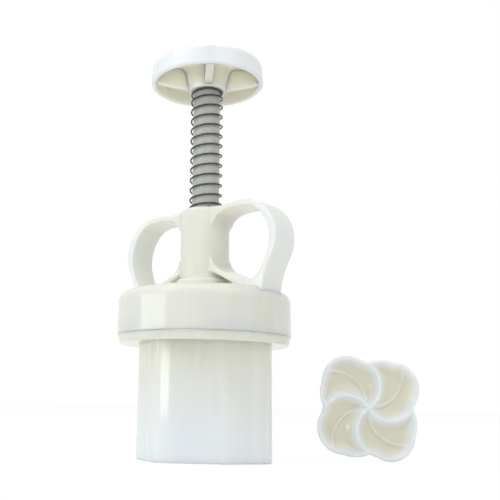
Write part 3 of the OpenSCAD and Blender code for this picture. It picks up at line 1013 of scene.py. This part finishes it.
class PRESS_OT_spring(bpy.types.Operator):
    """Compression spring of round steel wire, with closed ends"""

    bl_idname = "press.spring"
    bl_label = "Spring"

    def execute(self, context):
        s = context.scene.press_spring
        cover = context.scene.press_cover
        knob = context.scene.press_knob
        tones = context.scene.press_colours
        wire = s.wire_d / 2
        seat = knob.foot - wire - s.play
        # half turns and the rise of each, from the knob down
        runs = [
            (1, s.flat),
            (2, s.end_pitch / 2),
            (round(2 * s.open_turns), s.pitch / 2),
            (2, s.end_pitch / 2),
            (1, s.flat),
        ]
        drop = sum(count * rise for count, rise in runs)
        room = seat - (cover.hub_top + wire + s.play)
        bm = bmesh.new()
        made = bmesh.ops.create_circle(bm, cap_ends=True, segments=12, radius=wire)
        for move in (
            Matrix.Rotation(math.pi / 2, 4, "X"),
            Matrix.Translation((s.coil_r, 0, seat)),
            Matrix.Rotation(SPRING_START, 4, "Z"),
        ):
            bmesh.ops.transform(bm, matrix=move, verts=made["verts"])
        last = bm.faces[:]
        for count, rise in runs:
            made = bmesh.ops.spin(
                bm,
                geom=last,
                cent=(0, 0, 0),
                axis=(0, 0, 1),
                dvec=(0, 0, -rise * room / drop / s.steps),
                angle=-math.pi * count,
                steps=s.steps * count,
            )
            last = [f for f in made["geom_last"] if isinstance(f, bmesh.types.BMFace)]
        spring = as_object("spring_wire", bm, 60)
        steel = steel_wire("oil tempered spring steel", tones.wire, 0.22)
        placed(spring, "plunger", steel, "spring", slot="steel")
        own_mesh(spring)
        return {"FINISHED"}


# lead, start and end of the arcs on the stamp, which leave its middle
RIDGE_ARC = (math.radians(32), 0.0, math.radians(126))
VEIN_ARC = (math.radians(-3), math.radians(14), math.radians(104))
STAMP_STEPS, STAMP_RINGS = 420, 86
# powers that shape the slope of a dish, and how quickly a vein fades at its ends
DISH_POWER, FADE_POWER = 2.4, 0.4


def four_arcs(r, lead, start, stop):
    """The same arc on each of the stamp's sides."""
    return [(r, lead + k * math.pi / 2, start, stop) for k in range(SIDES)]


def off_arc(p, arc):
    """Distance from an arc that leaves the middle, and how far along it that is."""
    r, lead, start, stop = arc
    centre = Vector((r * math.cos(lead), r * math.sin(lead)))
    out = p - centre
    along = (math.atan2(out.y, out.x) - lead - math.pi) % (2 * math.pi)
    if start <= along <= stop:
        return abs(out.length - r), (along - start) / (stop - start)
    ways = [lead + math.pi + a for a in (start, stop)]
    ends = [centre + r * Vector((math.cos(a), math.sin(a))) for a in ways]
    return min((p - end).length for end in ends), 0.0


class PRESS_OT_stamp(bpy.types.Operator):
    """Pinwheel stamp plate with dished petals, ridges, veins and its spigot"""

    bl_idname = "press.stamp"
    bl_label = "Stamp plate"

    def execute(self, context):
        s = context.scene.press_stamp
        petals = context.scene.press_petals
        tones = context.scene.press_colours
        circles = petal_circles(context, 1, 0.0)
        ridges = four_arcs(s.ridge_r, *RIDGE_ARC)
        veins = four_arcs(s.vein_r, *VEIN_ARC)

        def relief(p):
            """Height of the face over the plate's back."""
            from_rim = max(r - (p - c).length for c, r in circles) - s.rim
            from_ridge = min(off_arc(p, ridge)[0] for ridge in ridges) - s.ridge_w / 2
            share = min(max(min(from_rim, from_ridge) / s.slope, 0.0), 1.0)
            depth = s.dish * (1 - (1 - share) ** DISH_POWER)
            lift = 0.0
            for vein in veins:
                d, along = off_arc(p, vein)
                fade = math.sin(math.pi * min(along, 1.0)) ** FADE_POWER if along else 0.0
                lift = max(lift, s.vein_h * fade * math.exp(-((d / s.vein_w) ** 2)))
            return s.thickness - depth + min(lift, depth)

        bm = bmesh.new()
        # each point's depth in a dish, for the stamp's painted shade
        sunk = bm.verts.layers.float.new("sunk")
        made = bmesh.ops.create_circle(bm, cap_ends=False, segments=STAMP_STEPS, radius=1.0)
        current = list(made["verts"])
        edges = back = bm.edges[:]
        angles = [math.atan2(v.co.y, v.co.x) for v in current]
        reaches = [reach(circles, a) for a in angles]

        def lay(share, inset, z):
            """Lays the current ring at a share of the outline, at height z or on the relief."""
            for v, a, far in zip(current, angles, reaches):
                d = (far - inset) * share
                v.co = Vector((d * math.cos(a), d * math.sin(a), 0.0))
                v.co.z = relief(v.co.xy) if z is None else z
                v[sunk] = (s.thickness - v.co.z) / s.dish if z is None else 0.0

        # rings (share, inset, height) from the back edge over the rounded edge in to the middle
        rings = [(1.0, s.draft * s.edge / s.thickness, s.thickness - s.edge)]
        for i in range(1, 5):
            t = i / 4 * math.pi / 2
            height = s.thickness - s.edge * (1 - math.sin(t))
            rings.append((1.0, s.edge * (1 - math.cos(t)), height))
        rings += [(1 - i / STAMP_RINGS, s.edge, None) for i in range(1, STAMP_RINGS)]
        lay(1.0, s.draft, 0.0)
        for ring in rings:
            grown = bmesh.ops.extrude_edge_only(bm, edges=edges)["geom"]
            fresh = {v.co.to_tuple(9): v for v in grown if isinstance(v, bmesh.types.BMVert)}
            current = [fresh[v.co.to_tuple(9)] for v in current]
            ends = set(current)
            edges = [
                e for e in grown if isinstance(e, bmesh.types.BMEdge) and ends.issuperset(e.verts)
            ]
            lay(*ring)
        bmesh.ops.pointmerge(bm, verts=current, merge_co=(0, 0, s.thickness))
        bmesh.ops.edgeloop_fill(bm, edges=back)
        spigot_in, spigot_top = s.spigot_r - s.spigot_wall, 0.4 * MM
        spigot = [
            (spigot_in, -s.spigot_l, 0.2 * MM),
            (s.spigot_r, -s.spigot_l, 0.3 * MM),
            (s.spigot_r, spigot_top),
            (spigot_in, spigot_top),
        ]
        stamp = joined("stamp_pinwheel", [bm, lathe(spigot, steps=96)], 40)
        # it stands on its lowest petals, with its face to the front
        centre_z = petals.large_at * math.cos(LARGE_LEAD) + petals.large_r
        stamp.data.transform(
            Matrix.Translation((s.right, s.behind + s.thickness / 2, centre_z))
            @ Matrix.Rotation(math.pi / 2, 4, "X")
        )
        # painted shade in the dishes
        ivory = stamp_ivory_painted_shade("ivory PP, stamp", tones.painted_light_pale, tones.dish)
        placed(stamp, "stamp", ivory, "stamp_plate")
        return {"FINISHED"}


# -------------------- stage

DAY, WINDOW = (0.95, 0.97, 1.0), (0.88, 0.95, 1.0)
MIDDLE = (0.0, 0.0, 0.06)
# place, target, width, height, power and tone; the low, wide windows show in polished walls
LAMPS = {
    "window, left": ((-1.04, -0.35, 0.185), (0, 0, 0.185), 0.74, 0.15, 0.95, WINDOW),
    "window, front left": ((-0.5, -0.9, 0.055), (0, 0, 0.055), 0.53, 0.1, 0.75, WINDOW),
    "soft light, left": ((-0.95, -0.55, 0.85), MIDDLE, 0.9, 0.8, 2.7, DAY),
    "soft light, front": ((0.45, -1.1, 0.95), MIDDLE, 1.4, 1.2, 4.7, DAY),
    "soft light, above": ((-0.1, 0.1, 1.5), MIDDLE, 1.6, 1.2, 5.3, DAY),
}
# light of the room, and the stretch along X over which its tone goes from left to right
ROOM_STRENGTH, ROOM_FROM, ROOM_TO = 0.67, -0.6, 0.9
# the floor: half its width, its drop, and how white it is where it is looked at
FLOOR_HALF, FLOOR_DROP, FLOOR_WHITE, FLOOR_GLOW = 6.0, 0.02 * MM, 0.9, 1.03
# the camera, fitted to the photograph's outline: metres, radians, then lens and sensor in
# millimetres, and the shift as a share of the sensor
CAMERA_PLACE, CAMERA_PITCH, CAMERA_ROLL = (-0.015572, -0.290844, 0.020093), 0.1986, 0.0246
CAMERA_LENS, CAMERA_SENSOR, CAMERA_SHIFT = 54.63, 36.0, 0.1698


def end_background(tree, share, lit, seen, end):
    """Ends a tree: lit for the light it gives, and a share of seen where it is looked at."""
    inputs = {0: share, 1: lit.outputs[0], 2: seen.outputs[0]}
    mix = add_node(tree, "ShaderNodeMixShader", inputs)
    add_node(tree, end, {"Surface": mix.outputs["Shader"]})


def softbox(name, place, target, width, height, power, tone):
    """A rectangular lamp that faces its target."""
    lamp = bpy.data.lights.new(name, "AREA")
    lamp.shape = "RECTANGLE"
    lamp.size, lamp.size_y = width, height
    lamp.energy = power
    lamp.color = tone
    thing = bpy.data.objects.new(name, lamp)
    thing.location = place
    aim = (Vector(target) - Vector(place)).to_track_quat("-Z", "Y")
    thing.rotation_mode = "QUATERNION"
    thing.rotation_quaternion = aim
    bpy.context.scene.collection.objects.link(thing)


class PRESS_OT_stage(bpy.types.Operator):
    """Pale floor, soft light and the camera at the photograph's angle"""

    bl_idname = "press.stage"
    bl_label = "Stage"

    def execute(self, context):
        scene = context.scene
        scene.view_settings.view_transform = "Standard"
        tones = scene.press_colours

        bm = bmesh.new()
        bmesh.ops.create_grid(bm, x_segments=2, y_segments=2, size=FLOOR_HALF)
        bmesh.ops.translate(bm, verts=bm.verts, vec=(0, 0, -FLOOR_DROP))
        floor = as_object("floor", bm)
        material, tree, _ = new_material("matt white paper, floor")
        inputs = {0: looking(tree), 1: FLOOR_WHITE}
        share = add_node(tree, "ShaderNodeMath", inputs, operation="MULTIPLY")
        paper = add_node(tree, "ShaderNodeBsdfDiffuse", {"Color": tones.floor})
        glow = add_node(
            tree, "ShaderNodeEmission", {"Color": (1, 1, 1, 1), "Strength": FLOOR_GLOW}
        )
        end_background(tree, share.outputs["Value"], paper, glow, "ShaderNodeOutputMaterial")
        floor.data.materials.append(material)

        world = bpy.data.worlds.new("studio")
        scene.world = world
        world.use_nodes = True
        tree = world.node_tree
        tree.nodes.clear()
        place = add_node(tree, "ShaderNodeTexCoord").outputs["Generated"]
        apart = add_node(tree, "ShaderNodeSeparateXYZ", {"Vector": place})
        side = add_node(
            tree,
            "ShaderNodeMapRange",
            {"Value": apart.outputs["X"], "From Min": ROOM_FROM, "From Max": ROOM_TO},
            interpolation_type="SMOOTHSTEP",
        )
        room = add_node(
            tree,
            "ShaderNodeMix",
            {AMOUNT: side.outputs["Result"], FIRST: tones.room_left, SECOND: tones.room_right},
            data_type="RGBA",
        )
        soft = add_node(
            tree,
            "ShaderNodeBackground",
            {"Color": room.outputs[MIXED], "Strength": ROOM_STRENGTH},
        )
        white = add_node(tree, "ShaderNodeBackground", {"Color": (1, 1, 1, 1), "Strength": 1.0})
        end_background(tree, looking(tree), soft, white, "ShaderNodeOutputWorld")

        for name, lamp in LAMPS.items():
            softbox(name, *lamp)

        lens = bpy.data.cameras.new("camera")
        lens.sensor_width = CAMERA_SENSOR
        lens.lens = CAMERA_LENS
        lens.shift_x = CAMERA_SHIFT
        lens.clip_start, lens.clip_end = 0.01, 50.0
        camera = bpy.data.objects.new("camera", lens)
        ahead = Vector((0, math.cos(CAMERA_PITCH), math.sin(CAMERA_PITCH)))
        up = Vector((0, -math.sin(CAMERA_PITCH), math.cos(CAMERA_PITCH)))
        right = Vector((1, 0, 0))
        x_axis = math.cos(CAMERA_ROLL) * right + math.sin(CAMERA_ROLL) * up
        y_axis = math.cos(CAMERA_ROLL) * up - math.sin(CAMERA_ROLL) * right
        turn = Matrix((x_axis, y_axis, -ahead)).transposed()
        camera.matrix_world = Matrix.Translation(CAMERA_PLACE) @ turn.to_4x4()
        scene.collection.objects.link(camera)
        scene.camera = camera
        return {"FINISHED"}


class PRESS_PT_panel(bpy.types.Panel):
    """Sizes, colours and the steps of the build"""

    bl_label = "Mooncake press"
    bl_idname = "PRESS_PT_panel"
    bl_space_type = "VIEW_3D"
    bl_region_type = "UI"
    bl_category = "Press"

    def draw(self, context):
        for name in GROUPS:
            box = self.layout.box()
            group = getattr(context.scene, name)
            for prop in group.bl_rna.properties:
                if prop.identifier not in ("rna_type", "name"):
                    box.prop(group, prop.identifier)
        for operator in OPERATORS:
            self.layout.operator(operator.bl_idname)


OPERATORS = (
    PRESS_OT_stage,
    PRESS_OT_barrel,
    PRESS_OT_cover,
    PRESS_OT_loops,
    PRESS_OT_plunger,
    PRESS_OT_knob,
    PRESS_OT_spring,
    PRESS_OT_stamp,
)


def register():
    for name, group in GROUPS.items():
        bpy.utils.register_class(group)
        setattr(bpy.types.Scene, name, PointerProperty(type=group))
    for cls in OPERATORS + (PRESS_PT_panel,):
        bpy.utils.register_class(cls)


def unregister():
    for cls in (PRESS_PT_panel,) + OPERATORS[::-1]:
        bpy.utils.unregister_class(cls)
    for name, group in reversed(list(GROUPS.items())):
        delattr(bpy.types.Scene, name)
        bpy.utils.unregister_class(group)


def main():
    register()
    for operator in OPERATORS:
        family, name = operator.bl_idname.split(".")
        getattr(getattr(bpy.ops, family), name)()


if __name__ == "__main__":
    main()
